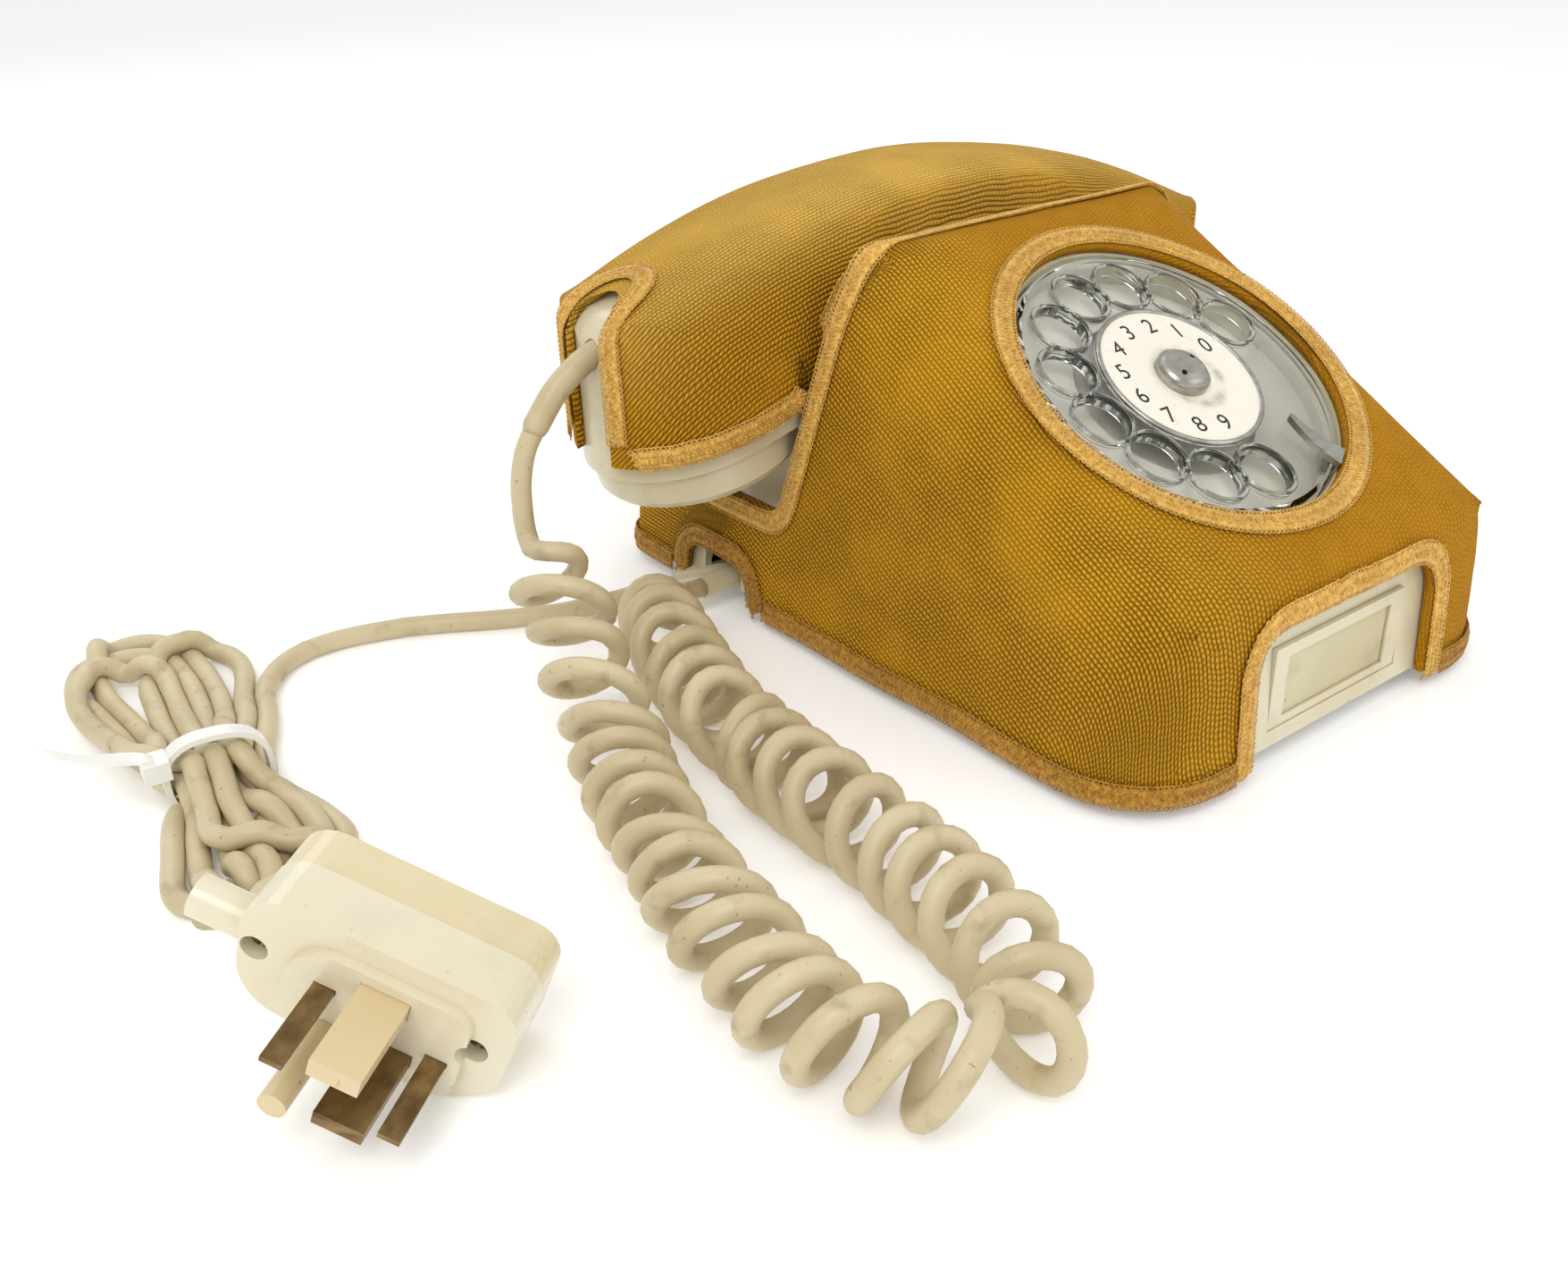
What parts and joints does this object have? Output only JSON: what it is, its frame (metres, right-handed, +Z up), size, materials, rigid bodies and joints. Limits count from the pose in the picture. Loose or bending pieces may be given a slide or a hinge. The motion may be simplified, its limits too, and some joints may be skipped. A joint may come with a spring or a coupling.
{
  "type": "rotary telephone",
  "caption": "Desk telephone with a rotary dial in a gold ribbed-velvet slip cover, with its curly handset cord, tied line cord and wall plug.",
  "frame": {"origin": "on the table under the middle of the telephone's case", "axes": "+X to the telephone's right along the handset, -Y to its front, +Z up"},
  "size_m": [0.3556, 0.2787, 0.1146],
  "materials": {
    "case_plastic": "glossy",
    "velvet": "matte",
    "braid": "matte",
    "acrylic": "clear",
    "white_plastic": "satin",
    "steel": "satin",
    "brass": "satin",
    "rubber": "matte",
    "cord_pvc": "satin",
    "copper": "satin",
    "board": "matte",
    "card": "matte",
    "nylon": "satin",
    "aluminium": "satin"
  },
  "bodies": {
    "case": {"base_plate": "steel", "rubber_feet": "rubber", "base_screws": "steel", "case_shell": "case_plastic", "card_frame": "case_plastic", "number_card": "card", "body_cover": "velvet", "hem_braid": "braid", "front_braid": "braid", "arch_braid": "braid", "cradle_braid": "braid", "dial_braid": "braid", "dial_cup": "steel", "dial_ring": "steel", "finger_stop": "steel", "return_spring": "steel", "governor_cup": "steel", "pulse_contacts": "brass", "gong_left": "steel", "gong_right": "steel", "gong_screws": "steel", "ringer_frame": "steel", "ringer_coils": "copper", "circuit_board": "board", "induction_coil": "copper", "capacitor": "aluminium", "terminal_block": "board", "hook_bracket": "steel", "hook_contacts": "brass", "curly_cord": "cord_pvc", "base_lead": "cord_pvc", "cord_grommet": "case_plastic", "line_cord": "cord_pvc", "cord_bundle": "cord_pvc", "cable_tie": "nylon", "plug_cord": "cord_pvc", "plug_base": "white_plastic", "plug_cover": "case_plastic", "plug_screws": "steel", "plug_key": "white_plastic", "plug_blades": "steel"},
    "dial": {"finger_wheel": "acrylic", "number_disc": "white_plastic", "hub_nut": "steel", "dial_shaft": "steel", "main_gear": "brass"},
    "transfer": {"transfer_gear": "brass"},
    "governor": {"governor_rotor": "steel"},
    "clapper": {"clapper": "brass"},
    "handset": {"handset_shell": "case_plastic", "ear_cap": "case_plastic", "mouth_cap": "case_plastic", "receiver": "aluminium", "microphone": "aluminium", "handset_cover": "velvet", "handset_braid": "braid", "handset_sleeve": "cord_pvc", "handset_lead": "cord_pvc"},
    "plungers": {"hook_plungers": "case_plastic"},
    "lever": {"hook_lever": "steel"}
  },
  "joints": [
    {"name": "dial_turn", "type": "hinge", "parent": "case", "child": "dial", "pos_m": [0, -0.045, 0.074], "axis": [0, 0.515, -0.8572], "range_deg": [0, 325], "stiffness_Nm_per_rad": 0.004, "springref_deg": -34.38},
    {"name": "transfer_turn", "type": "hinge", "parent": "case", "child": "transfer", "pos_m": [-0.00484, -0.02149, 0.08813], "axis": [0, 0.515, -0.8572], "range_deg": [-1305, 5]},
    {"name": "governor_turn", "type": "hinge", "parent": "case", "child": "governor", "pos_m": [-0.026, -0.02995, 0.08304], "axis": [0, 0.515, -0.8572], "range_deg": [-5, 4690]},
    {"name": "clapper_swing", "type": "hinge", "parent": "case", "child": "clapper", "pos_m": [0, 0.05, 0.018], "axis": [0, 0, 1], "range_deg": [-3, 3]},
    {"name": "handset_lift", "type": "slide", "parent": "case", "child": "handset", "axis": [0, 0, 1], "range_m": [0, 0.12]},
    {"name": "plunger_rise", "type": "slide", "parent": "case", "child": "plungers", "axis": [0, 0, 1], "range_m": [-0.0002, 0.0052]},
    {"name": "hook_swing", "type": "hinge", "parent": "case", "child": "lever", "pos_m": [0, 0.066, 0.051], "axis": [-1, 0, 0], "range_deg": [-0.5, 17]}
  ],
  "couplings": [
    {"joint": "transfer_turn", "follows": "dial_turn", "ratio": -4},
    {"joint": "governor_turn", "follows": "dial_turn", "ratio": 14.4},
    {"joint": "plunger_rise", "follows": "handset_lift", "ratio": 0.041667},
    {"joint": "hook_swing", "follows": "handset_lift", "rad_per_m": 2.3998}
  ]
}
